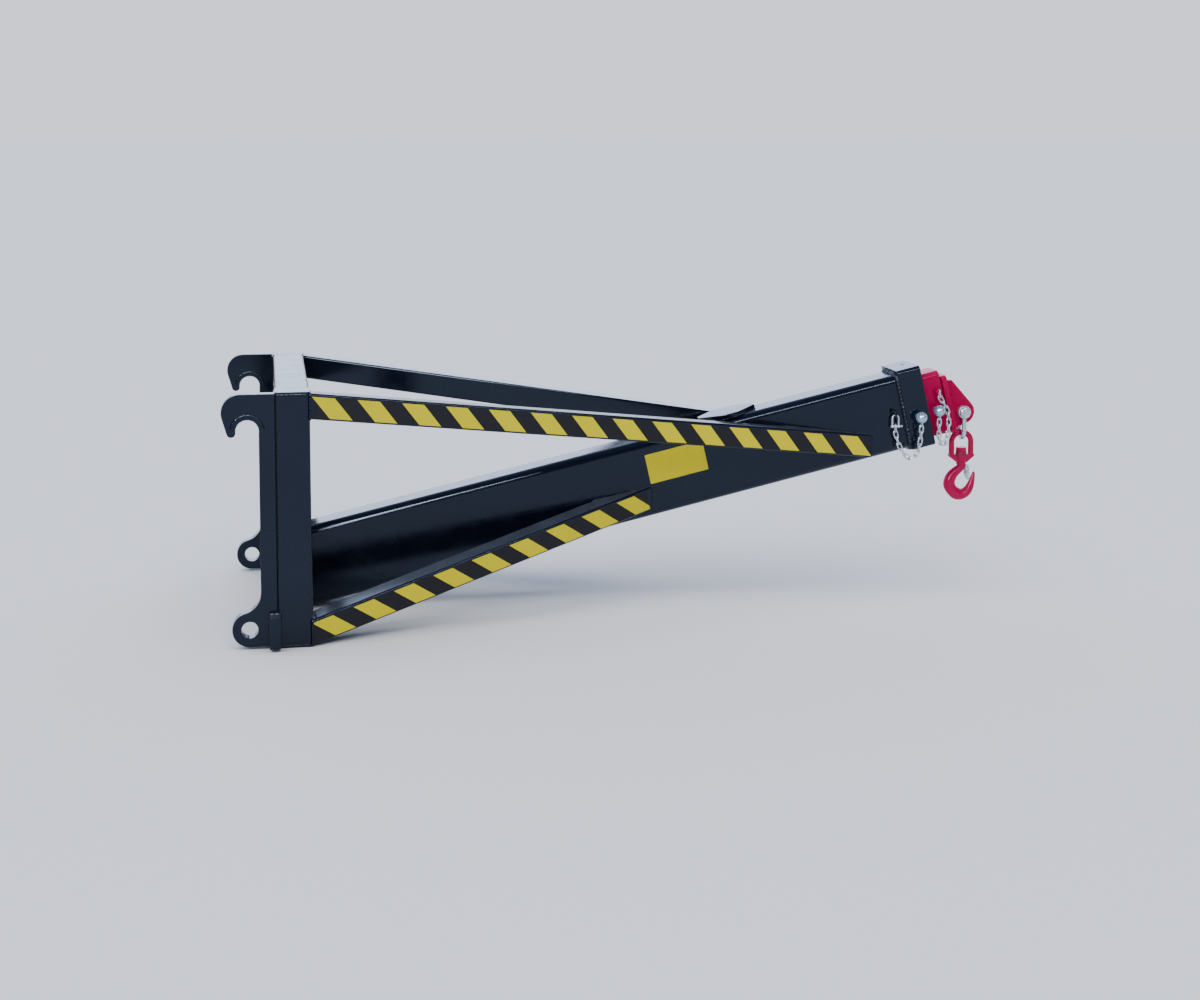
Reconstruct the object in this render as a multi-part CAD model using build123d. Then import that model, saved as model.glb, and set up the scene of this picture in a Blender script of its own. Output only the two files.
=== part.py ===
from build123d import *
import math
import os

# Crane jib for a loader's quick hitch, in millimetres: a welded portal frame and tapered bracing carry a
# telescopic boom with a swivel hook. The origin is the axis of the hitch shaft seat on the mid-plane;
# +X runs to the boom tip, +Y to the left of the machine, +Z up.

# Hitch plates
FRAME_WIDTH = 830.0
PLATE_T = 30.0
PLATE_STRIP = 36.5
PLATE_TOP = 85.0
SHAFT_SEAT_R = 26.0
LINER_WALL = 11.0
LINER_PROUD = 2.0
CLAW_R = 42.6
CLAW_SETBACK = 16.0
CLAW_TIP_R = 10.2
CLAW_TIP_DROP = 3.4
EYE_R = 19.0
EYE_DROP = 460.0
EYE_BOSS_R = 40.0
EYE_NECK_R = 48.0

# Stop blocks on the outer faces of the hitch plates
STOP_W = 24.0
STOP_REACH = 35.0
STOP_H = 75.0
STOP_LAP = 6.5
STOP_EDGE_R = 2.0

# Columns and cross members
COLUMN = 80.0
COLUMN_WALL = 6.0
COLUMN_CORNER_R = 8.0
COLUMN_ABOVE_PLATE = 3.0
COLUMN_BELOW_PLATE = 6.0
CAP_T = 6.0
LOWER_BEAM_H = 210.0

# Boom and its collar, measured along the axis of the stages from the column front
BOOM_TILT = 12.8
BOOM_ROOT_RISE = 100.0
BOOM_H = 198.0
BOOM_W = 110.0
BOOM_WALL = 8.0
BOOM_CORNER_R = 20.0
BOOM_L = 1650.0
COLLAR_L = 62.0
COLLAR_T = 12.0
COLLAR_FOOT_T = 5.0
COLLAR_CORNER_R = 10.0
COLLAR_SEAT_R = 18.0
TOP_PLATE_T = 12.0
TOP_PLATE_BACK = 593.0
TOP_PLATE_L = 152.0
TOP_PLATE_W = 104.0
TOP_PLATE_NOSE = 22.0
TOP_PLATE_TAPER = 54.0

# Bracing struts: drop below the column top, run-out measured back from the boom end, height above its edge
STRUT = 60.0
STRUT_WALL = 4.0
STRUT_CORNER_R = 5.0
UPPER_STRUT_DROP = 4.0
UPPER_STRUT_BACK = 174.0
UPPER_STRUT_INSET = 3.0
LOWER_STRUT_RISE = 2.0
LOWER_STRUT_BACK = 773.0
LOWER_STRUT_INSET = 18.0

# Telescopic stages
SLIDE_GAP = 2.0
PAD_ROOM = 8.0
STAGE_1_WALL = 8.0
STAGE_1_CORNER_R = 14.0
STAGE_1_TAIL = 350.0
STAGE_1_PROUD = 54.0
STAGE_2_WALL = 6.0
STAGE_2_CORNER_R = 10.0
STAGE_2_TAIL = 500.0
FLANGE_GAP = 4.0
FLANGE_T = 15.0
FLANGE_H = 156.0
FLANGE_DROP = 10.0
FLANGE_W = 90.0
FLANGE_CORNER_R = 9.0
PAD_L = 44.0
PAD_W = 30.0
PAD_RUN_GAP = 0.3
TAIL_PAD_INSET = 20.0
PAD_SCREW_R = 5.0
PAD_SCREW_SOCKET_R = 2.6
PAD_SCREW_SOCKET_DEPTH = 5.0
PAD_SCREW_SUNK = 1.0
PAD_SCREW_AHEAD = 10.0
PAD_SCREW_SIDE = 10.0
PAD_SCREW_RUN = 0.1

# Lock pins and the spacing of their holes
LOCK_STEP = 250.0
LOCK_STEPS = 3
LOCK_DROP = 14.0
LOCK_PIN_R = 8.0
LOCK_PIN_RUN = 0.1
LOCK_HOLE_EASE = 0.6
LOCK_BALL_R = 15.0
LOCK_BALL_SEAT = 0.5
LOCK_THROW = 10.0
LOCK_TIP_GAP = 1.0
LOCK_TIP_CHAMFER = 2.0
LOCK_2_BACK = 27.0
LOCK_TAB_W = 12.0
LOCK_TAB_T = 4.0
LOCK_TAB_DROP = 19.5
LOCK_TAB_HOLE_R = 3.6

# Chains of the lock pins: wire, inside length and inside width of a link, and the eyes that hold them
LINK_WIRE = 4.0
LINK_INSIDE_L = 17.1
LINK_INSIDE_W = 5.8
EYE_WIRE = 5.0
EYE_SPAN = 18.0
EYE_BEND_R = 7.0
EYE_1_REACH = 24.0
EYE_1_BACK = 92.0
EYE_1_RISE = 8.0
EYE_2_REACH = 18.0
EYE_2_BACK = 14.0
EYE_2_RISE = 34.0
D_WIRE = 5.0
D_INSIDE_W = 12.0
D_INSIDE_L = 24.0
D_PIN_R = 2.8
D_PIN_OVER = 1.0
D_PIN_HEAD = 7.0
D_GAP = 0.3
LINK_EYE_GAP = 1.3
D_EAR_R = 5.0
CHAIN_1_LINKS = 12
CHAIN_2_LINKS = 14
LINK_PITCH = 16.4

# Hanging routes of the chains below the bar that holds them: ahead, outward, down
CHAIN_1_ROUTE = [
    (0.8, 0.6, 22.0),
    (9.0, 7.0, 53.0),
    (23.0, 14.0, 78.0),
    (36.0, 18.0, 86.5),
    (48.0, 21.0, 78.0),
    (58.5, 23.0, 50.0),
    (62.2, 23.5, 21.0),
]
CHAIN_2_ROUTE = [
    (3.0, 0.5, 20.0),
    (14.0, 3.0, 36.0),
    (22.0, 5.0, 54.0),
    (25.0, 7.0, 80.0),
    (23.0, 9.0, 110.0),
    (18.0, 10.0, 133.0),
    (9.0, 10.0, 142.0),
    (0.0, 9.5, 133.0),
    (-2.0, 8.8, 108.0),
]

# Lug, shackle and swivel hook
LUG_T = 20.0
LUG_RISE = 50.0
LUG_TOP_FLAT = 25.0
LUG_BOSS_R = 32.0
LUG_FOOT_INSET = 4.0
LUG_PIN_AHEAD = 37.0
LUG_PIN_DROP = 46.0
SHACKLE_BOLT_R = 8.0
SHACKLE_RUN = 0.1
SHACKLE_JAW_GAP = 0.5
SHACKLE_EAR_W = 14.0
SHACKLE_EAR_R = 17.0
SHACKLE_WIRE = 12.0
SHACKLE_REACH = 64.0
SHACKLE_BOW_R = 20.0
BOLT_HEAD_R = 15.0
BOLT_HEAD_T = 9.0
BOLT_HEAD_DOME = 5.0
NUT_FLATS = 24.0
NUT_T = 13.0
BOLT_OVER = 9.0
COTTER_R = 1.6
COTTER_EYE_R = 4.0
COTTER_OVER = 4.0
HOOK_GAP = 0.4
BAIL_WIRE = 15.0
BAIL_W = 69.0
BAIL_WINDOW = 51.0
BAIL_BOSS_H = 23.0
BAIL_SHOULDER = 6.0
BAIL_BOSS_R = 17.0
BAIL_BOSS_FOOT_R = 13.0
SHANK_R = 9.0
SHANK_RUN = 0.08
SWIVEL_NUT_R = 14.0
SWIVEL_NUT_H = 15.0
SWIVEL_NUT_CHAMFER = 2.0
WASHER_T = 2.5
WASHER_R = 15.0
HOOK_COLLAR_R = 12.5
HOOK_COLLAR_H = 5.0
LATCH_ARM = 37.0
LATCH_T = 3.0
LATCH_W = 14.0
LATCH_DEPTH = 7.0
LATCH_TAPER = 10.0
LATCH_LEAN = 8.0
LATCH_CHEEK_T = 1.5
LATCH_CHEEK_R = 5.5
LATCH_CHEEK_GAP = 3.0
LATCH_EAR_T = 5.0
LATCH_EAR_R = 5.0
LATCH_PIN_R = 2.5
LATCH_PIN_RUN = 0.1
LATCH_PIN_OVER = 1.5
LATCH_AHEAD = 15.5
LATCH_DROP = 11.0
LATCH_ROOT = 8.0
LATCH_NECK_R = 6.0
LATCH_NECK_DROP = 12.0
RIVET_R = 4.5
RIVET_T = 1.5
SPRING_WIRE = 1.2
SPRING_COIL_R = 4.0
SPRING_PITCH = 1.6
SPRING_QUARTERS = 11
SPRING_GAP = 0.5
SPRING_LEG = 19.0
SPRING_TONGUE_GAP = 0.3
SPRING_HOOK_LEG = 17.0

# Centre line of the hook: distance ahead of the shank, drop below its collar, section radius
HOOK_SECTIONS = [
    (0.0, 4.0, 10.5),
    (-1.5, 13.0, 10.8),
    (-14.0, 23.0, 12.2),
    (-25.0, 34.0, 14.0),
    (-32.4, 52.0, 15.6),
    (-24.0, 74.0, 15.6),
    (-2.0, 85.7, 15.3),
    (18.0, 77.0, 12.5),
    (29.0, 57.0, 9.2),
    (34.0, 39.0, 6.0),
    (36.0, 29.0, 3.5),
]

# Stations that several pieces share
HALF_WIDTH = FRAME_WIDTH / 2
LINER_R = SHAFT_SEAT_R + LINER_WALL
PLATE_FRONT = SHAFT_SEAT_R + PLATE_STRIP
PLATE_FOOT = -EYE_DROP - EYE_BOSS_R
COLUMN_TOP = PLATE_TOP + COLUMN_ABOVE_PLATE
COLUMN_FOOT = PLATE_FOOT - COLUMN_BELOW_PLATE
COLUMN_FRONT = PLATE_FRONT + COLUMN
COLUMN_INSIDE = HALF_WIDTH - COLUMN
BOOM_ROOT_Z = COLUMN_FOOT + BOOM_ROOT_RISE
TOP_PLATE_START = BOOM_L - TOP_PLATE_BACK
STAGE_1_W = BOOM_W - 2 * (BOOM_WALL + SLIDE_GAP)
STAGE_1_H = BOOM_H - PAD_ROOM - 2 * (BOOM_WALL + SLIDE_GAP)
BOOM_FOOT = -STAGE_1_H / 2 - SLIDE_GAP - BOOM_WALL
BOOM_HEAD = BOOM_FOOT + BOOM_H
STAGE_2_W = STAGE_1_W - 2 * (STAGE_1_WALL + SLIDE_GAP)
STAGE_2_H = STAGE_1_H - 2 * (STAGE_1_WALL + SLIDE_GAP)
STAGE_1_END = BOOM_L + STAGE_1_PROUD
FLANGE_BACK = STAGE_1_END + FLANGE_GAP
FLANGE_FRONT = FLANGE_BACK + FLANGE_T
LOCK_1_STATION = BOOM_L - COLLAR_L / 2
LOCK_2_STATION = STAGE_1_END - LOCK_2_BACK
COLLAR_FACE = BOOM_W / 2 + COLLAR_T
BIG = 4000.0

# Boom frame: local x is +Y, local y is square to the boom and up, local z runs along the boom
TILT_COS = math.cos(math.radians(BOOM_TILT))
TILT_SIN = math.sin(math.radians(BOOM_TILT))
BOOM_ALONG = Vector(TILT_COS, 0, TILT_SIN)
BOOM_UP = Vector(-TILT_SIN, 0, TILT_COS)
BOOM = Plane(origin=(COLUMN_FRONT, 0, BOOM_ROOT_Z), x_dir=(0, 1, 0), z_dir=BOOM_ALONG)


def boom_point(station, rise, y=0.0):
    """A point of the model given along the boom, square to it and sideways."""
    x = COLUMN_FRONT + station * TILT_COS - rise * TILT_SIN
    z = BOOM_ROOT_Z + station * TILT_SIN + rise * TILT_COS
    return Vector(x, y, z)


SHELL = Plane(origin=boom_point(0, (BOOM_FOOT + BOOM_HEAD) / 2), x_dir=(0, 1, 0), z_dir=BOOM_ALONG)
LUG_PIN = boom_point(FLANGE_FRONT + LUG_PIN_AHEAD, -LUG_PIN_DROP)
CROWN_Z = LUG_PIN.Z - SHACKLE_REACH
BAIL_TOP_Z = CROWN_Z + HOOK_GAP + BAIL_WIRE / 2
BAIL_FLOOR_Z = CROWN_Z + HOOK_GAP - BAIL_WINDOW
BOSS_FOOT_Z = BAIL_FLOOR_Z - BAIL_BOSS_H
HOOK_TOP_Z = BOSS_FOOT_Z - HOOK_GAP


def keep(shape, name):
    """Write one piece under its own name."""
    export_step(shape, f"parts/{name}.step")


def pair(right, name):
    """Write a right-hand piece and its mirror image on the left."""
    keep(right, f"{name}_right")
    keep(mirror(right, about=Plane.XZ), f"{name}_left")


def slab(face, near, far):
    """A flat piece drawn in the XZ plane, from y = -near to y = -far."""
    return extrude(Plane.XZ.offset(near) * face, amount=far - near)


def box_tube(plane, width, height, wall, corner, start, end):
    """A rounded box tube along a plane's normal."""
    outer = RectangleRounded(width, height, corner)
    inner = RectangleRounded(width - 2 * wall, height - 2 * wall, corner - wall)
    return extrude(plane.offset(start) * (outer - inner), amount=end - start)


def boom_block(station, length, width, low, high, y=0.0):
    """A box set along the boom, between two heights above its axis."""
    return BOOM.location * Pos(y, (low + high) / 2, station) * Box(width, high - low, length)


def front_room():
    """All the space ahead of the columns."""
    return Pos(COLUMN_FRONT + BIG / 2, 0, 0) * Box(BIG, BIG, BIG)


def bar_y(x, z, radius, near, far):
    """A round bar along Y, from y = -near to y = -far."""
    return slab(Pos(x, z) * Circle(radius), near, far)


def lock_hole(station, near, far, ease):
    """Cutter for one lock pin hole through the right-hand walls."""
    at = boom_point(station, -LOCK_DROP)
    return bar_y(at.X, at.Z, LOCK_PIN_R + ease, near, far)


def bent_bar(path, radius):
    """A round bar bent along a path."""
    return sweep(Plane(origin=path @ 0, z_dir=path % 0) * Circle(radius), path=path)


def tangent_below(point, centre, radius):
    """Where a line from a point touches the outside of a circle that lies below it, in a plane."""
    dx = centre[0] - point[0]
    dz = centre[1] - point[1]
    reach = math.hypot(dx, dz)
    run = math.sqrt(reach**2 - radius**2)
    turn = math.atan2(dz, dx) - math.asin(radius / reach)
    return point[0] + run * math.cos(turn), point[1] + run * math.sin(turn)


def on_circle(centre, radius, degrees):
    """A point on a circle drawn in the XZ plane."""
    turn = math.radians(degrees)
    return centre.X + radius * math.cos(turn), centre.Y + radius * math.sin(turn)


def hitch_plates():
    """Flame-cut plates: a claw over the hitch shaft, a strip welded to the column, an eye at the foot."""
    claw = Vector(-CLAW_SETBACK, PLATE_TOP - CLAW_R)
    tip = Vector(-SHAFT_SEAT_R - CLAW_TIP_R, -CLAW_TIP_DROP)
    eye = Vector(0, -EYE_DROP)
    neck_x = SHAFT_SEAT_R - EYE_NECK_R
    neck = Vector(neck_x, math.sqrt((EYE_BOSS_R + EYE_NECK_R) ** 2 - neck_x**2) - EYE_DROP)
    fall = tip - claw
    lean = math.degrees(math.acos((CLAW_R - CLAW_TIP_R) / fall.length))
    back = math.degrees(math.atan2(fall.Y, fall.X)) - lean
    blend = math.degrees(math.atan2(neck.Y - eye.Y, neck.X - eye.X))

    def arc(centre, radius, start, end):
        turns = (start, (start + end) / 2, end)
        return ThreePointArc(*[on_circle(centre, radius, turn) for turn in turns])

    top = (PLATE_FRONT, PLATE_TOP)
    foot = (PLATE_FRONT, PLATE_FOOT)
    outline = [
        Line(top, on_circle(claw, CLAW_R, 90)),
        arc(claw, CLAW_R, 90, back + 360),
        Line(on_circle(claw, CLAW_R, back), on_circle(tip, CLAW_TIP_R, back)),
        arc(tip, CLAW_TIP_R, back, 0),
        Line(on_circle(tip, CLAW_TIP_R, 0), (-SHAFT_SEAT_R, 0)),
        Line((-SHAFT_SEAT_R, 0), (-LINER_R, 0)),
        arc(Vector(0, 0), LINER_R, 180, 0),
        Line((LINER_R, 0), (SHAFT_SEAT_R, 0)),
        Line((SHAFT_SEAT_R, 0), on_circle(neck, EYE_NECK_R, 0)),
        arc(neck, EYE_NECK_R, 0, blend - 180),
        arc(eye, EYE_BOSS_R, blend, 270),
        Line(on_circle(eye, EYE_BOSS_R, 270), foot),
        Line(foot, top),
    ]
    face = make_face(outline) - Pos(eye.X, eye.Y) * Circle(EYE_R)
    pair(slab(face, HALF_WIDTH - PLATE_T, HALF_WIDTH), "hitch_plate")


def hook_liners():
    """Half-round wear liners welded into the claws."""
    ring = Circle(LINER_R) - Circle(SHAFT_SEAT_R)
    half = ring & Pos(0, LINER_R / 2) * Rectangle(2 * LINER_R, LINER_R)
    pair(slab(half, HALF_WIDTH - PLATE_T - LINER_PROUD, HALF_WIDTH + LINER_PROUD), "hook_liner")


def stop_blocks():
    """Blocks on the outer faces at the foot, which keep the plates between the hitch cheeks."""
    x = PLATE_FRONT + STOP_LAP - STOP_W / 2
    face = Pos(x, PLATE_FOOT + STOP_H / 2) * Rectangle(STOP_W, STOP_H)
    block = slab(face, HALF_WIDTH, HALF_WIDTH + STOP_REACH)
    outer = block.faces().sort_by(Axis.Y)[0]
    pair(fillet(outer.edges(), STOP_EDGE_R), "stop_block")


def portal_frame():
    """Two square columns with welded caps, tied by a cross tube at the top and a deep beam at the foot."""
    centre_x = PLATE_FRONT + COLUMN / 2
    centre_y = HALF_WIDTH - COLUMN / 2
    column = Plane(origin=(centre_x, -centre_y, 0))
    foot = COLUMN_FOOT + CAP_T
    top = COLUMN_TOP - CAP_T
    pair(box_tube(column, COLUMN, COLUMN, COLUMN_WALL, COLUMN_CORNER_R, foot, top), "column")
    cap = extrude(column * RectangleRounded(COLUMN, COLUMN, COLUMN_CORNER_R), amount=CAP_T)
    pair(Pos(0, 0, top) * cap, "column_top_cap")
    pair(Pos(0, 0, COLUMN_FOOT) * cap, "column_foot_cap")
    across = Plane(origin=(centre_x, 0, COLUMN_TOP - COLUMN / 2), x_dir=(1, 0, 0), z_dir=(0, -1, 0))
    span = COLUMN_INSIDE
    keep(box_tube(across, COLUMN, COLUMN, COLUMN_WALL, COLUMN_CORNER_R, -span, span), "top_cross_tube")
    below = Plane(origin=(centre_x, 0, COLUMN_FOOT + LOWER_BEAM_H / 2), x_dir=(1, 0, 0), z_dir=(0, -1, 0))
    beam = box_tube(below, COLUMN, LOWER_BEAM_H, COLUMN_WALL, COLUMN_CORNER_R, -span, span)
    keep(beam, "lower_cross_beam")


def strut(start, end):
    """A square tube whose outer lower edge runs from a column to the boom's right side, cut to fit both."""
    along = (end - start).normalized()
    inward = Vector(-along.Y, along.X, 0).normalized()
    up = along.cross(inward)
    centre = start + inward * (STRUT / 2) + up * (STRUT / 2)
    plane = Plane(origin=centre, x_dir=inward, z_dir=along)
    length = (end - start).length
    bar = box_tube(plane, STRUT, STRUT, STRUT_WALL, STRUT_CORNER_R, -STRUT, length + STRUT)
    beside_boom = Pos(0, -BIG / 2 - BOOM_W / 2, 0) * Box(2 * BIG, BIG, BIG)
    return bar & beside_boom & front_room()


def struts():
    """Upper and lower bracing tubes from the columns to the sides of the boom."""
    upper_start = Vector(COLUMN_FRONT, -HALF_WIDTH, COLUMN_TOP - UPPER_STRUT_DROP - STRUT)
    upper_end = boom_point(BOOM_L - UPPER_STRUT_BACK, BOOM_FOOT + UPPER_STRUT_INSET, -BOOM_W / 2)
    pair(strut(upper_start, upper_end), "upper_strut")
    lower_start = Vector(COLUMN_FRONT, -HALF_WIDTH, COLUMN_FOOT + LOWER_STRUT_RISE)
    lower_end = boom_point(BOOM_L - LOWER_STRUT_BACK, BOOM_FOOT + LOWER_STRUT_INSET, -BOOM_W / 2)
    pair(strut(lower_start, lower_end), "lower_strut")


def boom():
    """Outer boom tube, its end collar with the slide pad and pad screw, and the plate on its top."""
    tube = box_tube(SHELL, BOOM_W, BOOM_H, BOOM_WALL, BOOM_CORNER_R, -BOOM_H / 2, BOOM_L) & front_room()
    pin_hole = lock_hole(LOCK_1_STATION, 0, HALF_WIDTH, LOCK_PIN_RUN)
    pad = boom_block(LOCK_1_STATION, PAD_L, PAD_W, STAGE_1_H / 2 + PAD_RUN_GAP, BOOM_HEAD)
    window = boom_block(LOCK_1_STATION, PAD_L, PAD_W, STAGE_1_H / 2, BOOM_HEAD)
    keep(tube - pin_hole - window, "boom_tube")
    keep(pad, "boom_slide_pad")
    outside = RectangleRounded(BOOM_W + 2 * COLLAR_T, BOOM_H + COLLAR_T + COLLAR_FOOT_T, COLLAR_CORNER_R)
    ring = Pos(0, (COLLAR_T - COLLAR_FOOT_T) / 2) * outside
    ring -= RectangleRounded(BOOM_W, BOOM_H, COLLAR_SEAT_R)
    collar = extrude(SHELL.offset(BOOM_L - COLLAR_L) * ring, amount=COLLAR_L)
    pad_spot = boom_point(LOCK_1_STATION + PAD_SCREW_AHEAD, BOOM_HEAD, PAD_SCREW_SIDE)
    pad_top = Plane(origin=pad_spot, z_dir=BOOM_UP)
    collar -= extrude(pad_top * Circle(PAD_SCREW_R + PAD_SCREW_RUN), amount=2 * COLLAR_T)
    keep(collar - pin_hole, "boom_collar")
    screw_l = COLLAR_T - PAD_SCREW_SUNK
    screw = extrude(pad_top * Circle(PAD_SCREW_R), amount=screw_l)
    socket = RegularPolygon(PAD_SCREW_SOCKET_R, 6)
    socket_floor = pad_top.offset(screw_l - PAD_SCREW_SOCKET_DEPTH)
    screw -= extrude(socket_floor * socket, amount=PAD_SCREW_SOCKET_DEPTH)
    keep(screw, "pad_screw")
    end = TOP_PLATE_START + TOP_PLATE_L
    half_outline = [
        (TOP_PLATE_START, TOP_PLATE_NOSE / 2),
        (TOP_PLATE_START + TOP_PLATE_TAPER, TOP_PLATE_W / 2),
        (end - TOP_PLATE_TAPER, TOP_PLATE_W / 2),
        (end, TOP_PLATE_NOSE / 2),
    ]
    outline = [(s, -y) for s, y in half_outline] + half_outline[::-1]
    top = Plane(origin=boom_point(0, BOOM_HEAD), x_dir=BOOM_ALONG, z_dir=BOOM_UP)
    keep(extrude(top * Polygon(*outline, align=None), amount=TOP_PLATE_T), "boom_top_plate")


def tail_pad(station, height, room):
    """A slide pad bonded on the top wall at a stage's tail, filling the room above it."""
    low = height / 2
    high = low + room - PAD_RUN_GAP
    return boom_block(station + TAIL_PAD_INSET + PAD_L / 2, PAD_L, PAD_W, low, high)


def stages():
    """Two inner box tubes that slide out of the boom, with a row of lock pin holes in each right wall."""
    size_1 = (STAGE_1_W, STAGE_1_H, STAGE_1_WALL, STAGE_1_CORNER_R)
    size_2 = (STAGE_2_W, STAGE_2_H, STAGE_2_WALL, STAGE_2_CORNER_R)
    first = box_tube(BOOM, *size_1, STAGE_1_TAIL, STAGE_1_END)
    second = box_tube(BOOM, *size_2, STAGE_2_TAIL, FLANGE_BACK)
    for step in range(LOCK_STEPS + 1):
        first -= lock_hole(LOCK_1_STATION - step * LOCK_STEP, 0, HALF_WIDTH, LOCK_HOLE_EASE)
        second -= lock_hole(LOCK_2_STATION - step * LOCK_STEP, 0, HALF_WIDTH, LOCK_HOLE_EASE)
    first -= lock_hole(LOCK_2_STATION, 0, HALF_WIDTH, LOCK_PIN_RUN)
    keep(first, "extension_1_tube")
    keep(second, "extension_2_tube")
    keep(tail_pad(STAGE_1_TAIL, STAGE_1_H, SLIDE_GAP + PAD_ROOM), "extension_1_tail_pad")
    keep(tail_pad(STAGE_2_TAIL, STAGE_2_H, SLIDE_GAP), "extension_2_tail_pad")
    face = Pos(0, -FLANGE_DROP) * RectangleRounded(FLANGE_W, FLANGE_H, FLANGE_CORNER_R)
    keep(extrude(BOOM.offset(FLANGE_BACK) * face, amount=FLANGE_T), "end_flange")


def lifting_lug():
    """Plate on the end flange that takes the shackle bolt."""
    high = boom_point(FLANGE_FRONT, LUG_RISE)
    low = boom_point(FLANGE_FRONT, LUG_FOOT_INSET - FLANGE_DROP - FLANGE_H / 2)
    edge = Polyline((low.X, low.Z), (high.X, high.Z), (high.X + LUG_TOP_FLAT, high.Z))
    boss = Pos(LUG_PIN.X, LUG_PIN.Z) * Circle(LUG_BOSS_R)
    face = make_hull(edge.edges() + boss.edges())
    lug = slab(face, -LUG_T / 2, LUG_T / 2)
    lug -= boom_block(FLANGE_FRONT - FLANGE_H / 2, FLANGE_H, FLANGE_W, -FLANGE_H, FLANGE_H)
    keep(lug - bar_y(LUG_PIN.X, LUG_PIN.Z, SHACKLE_BOLT_R + SHACKLE_RUN, -LUG_T, LUG_T), "lifting_lug")


def lock_pin(station, face, stop, name):
    """A lock pin parked clear of the stage it locks, with a ball grip and a chain tab under the ball."""
    at = boom_point(station, -LOCK_DROP)
    ball_y = face + LOCK_BALL_SEAT + LOCK_THROW + LOCK_BALL_R
    tip = stop + LOCK_TIP_GAP
    shank = bar_y(at.X, at.Z, LOCK_PIN_R, tip, ball_y)
    shank = chamfer(shank.edges().sort_by(Axis.Y)[-1], LOCK_TIP_CHAMFER)
    ball = Pos(at.X, -ball_y, at.Z) * Sphere(LOCK_BALL_R)
    keep(shank - ball, f"{name}_shank")
    eye_z = at.Z - LOCK_TAB_DROP
    side = Plane(origin=(at.X - LOCK_TAB_T / 2, -ball_y, eye_z), x_dir=(0, 1, 0), z_dir=(1, 0, 0))
    tab = Circle(LOCK_TAB_W / 2) + Pos(0, LOCK_TAB_DROP / 2) * Rectangle(LOCK_TAB_W, LOCK_TAB_DROP)
    tab -= Circle(LOCK_TAB_HOLE_R)
    keep(ball + extrude(side * tab, amount=LOCK_TAB_T), f"{name}_ball")
    return Vector(at.X, -ball_y, eye_z)


def chain_eye(station, rise, face, reach, across, name):
    """A bent bar welded by both ends to the right side of a tube; returns the middle of its free bar."""
    foot = boom_point(station, rise, -face)
    out = Vector(0, -(reach - EYE_WIRE / 2), 0)
    half = across * (EYE_SPAN / 2)
    points = [foot - half, foot - half + out, foot + half + out, foot + half]
    path = FilletPolyline(*points, radius=EYE_BEND_R)
    keep(bent_bar(path, EYE_WIRE / 2), name)
    return foot + out


def chain_shackle(bar):
    """A small shackle hung over a chain eye's lower leg; returns the middle of its pin."""
    bend_r = (D_INSIDE_W + D_WIRE) / 2
    crown = bar.Z + EYE_WIRE / 2 + D_GAP + D_WIRE / 2
    pin_z = crown - D_WIRE / 2 - D_INSIDE_L - D_PIN_R
    left = bar.X - bend_r
    right = bar.X + bend_r
    sides = [
        Line((left, bar.Y, pin_z), (left, bar.Y, crown - bend_r)),
        ThreePointArc((left, bar.Y, crown - bend_r), (bar.X, bar.Y, crown), (right, bar.Y, crown - bend_r)),
        Line((right, bar.Y, crown - bend_r), (right, bar.Y, pin_z)),
    ]
    bow = bent_bar(Wire(sides), D_WIRE / 2)
    middle = Vector(bar.X, bar.Y, pin_z)
    half_l = D_INSIDE_W / 2 + D_WIRE
    across = Plane(origin=middle, z_dir=(1, 0, 0)).offset(-half_l - D_PIN_OVER)
    pin = extrude(across * Circle(D_PIN_R), amount=2 * half_l + D_PIN_OVER + D_PIN_HEAD)
    for x in (left, right):
        bow += Pos(x, bar.Y, pin_z) * Sphere(D_EAR_R)
    keep(bow + pin, "chain_1_shackle")
    return middle


def chain(start, route, end, count, name):
    """A chain of separate links on a hanging route, turned a quarter turn from link to link."""
    points = [start] + [start + Vector(ahead, -out, -down) for ahead, out, down in route] + [end]
    path = Spline(*points)
    straight = LINK_INSIDE_L - LINK_INSIDE_W
    loop = SlotCenterToCenter(straight, LINK_INSIDE_W + LINK_WIRE).wire()
    link = sweep(Plane(origin=loop @ 0, z_dir=loop % 0) * Circle(LINK_WIRE / 2), path=loop)
    links = []
    for i in range(count):
        near = path @ (i / count)
        far = path @ ((i + 1) / count)
        along = (far - near).normalized()
        side = Vector(0, 1, 0).cross(along).normalized()
        normal = along.cross(side) if i % 2 else side
        links.append(Plane(origin=(near + far) / 2, x_dir=along, z_dir=normal).location * link)
    keep(Compound(children=links), name)


def pin_chains(tab_1, tab_2):
    """The eyes on the tubes and the chains that tie each lock pin to them."""
    rest_1 = chain_eye(BOOM_L - EYE_1_BACK, EYE_1_RISE, BOOM_W / 2, EYE_1_REACH, BOOM_UP, "chain_eye_1")
    leg = rest_1 - BOOM_UP * (EYE_SPAN / 2) + Vector(0, EYE_1_REACH / 2 - EYE_WIRE / 2, 0)
    pin = chain_shackle(leg)
    start = pin + Vector(0, 0, LINK_PITCH / 2 - LINK_INSIDE_L / 2 + D_PIN_R + D_GAP)
    hang = Vector(0, 0, LINK_INSIDE_L / 2 + LOCK_TAB_HOLE_R - LINK_PITCH / 2 - LINK_EYE_GAP)
    chain(start, CHAIN_1_ROUTE, tab_1 - hang, CHAIN_1_LINKS, "chain_1")
    station = STAGE_1_END - EYE_2_BACK
    rest_2 = chain_eye(station, EYE_2_RISE, STAGE_1_W / 2, EYE_2_REACH, BOOM_ALONG, "chain_eye_2")
    start = rest_2 + Vector(0, 0, LINK_PITCH / 2 - LINK_INSIDE_L / 2 + EYE_WIRE / 2 + D_GAP)
    chain(start, CHAIN_2_ROUTE, tab_2 - hang, CHAIN_2_LINKS, "chain_2")


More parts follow.
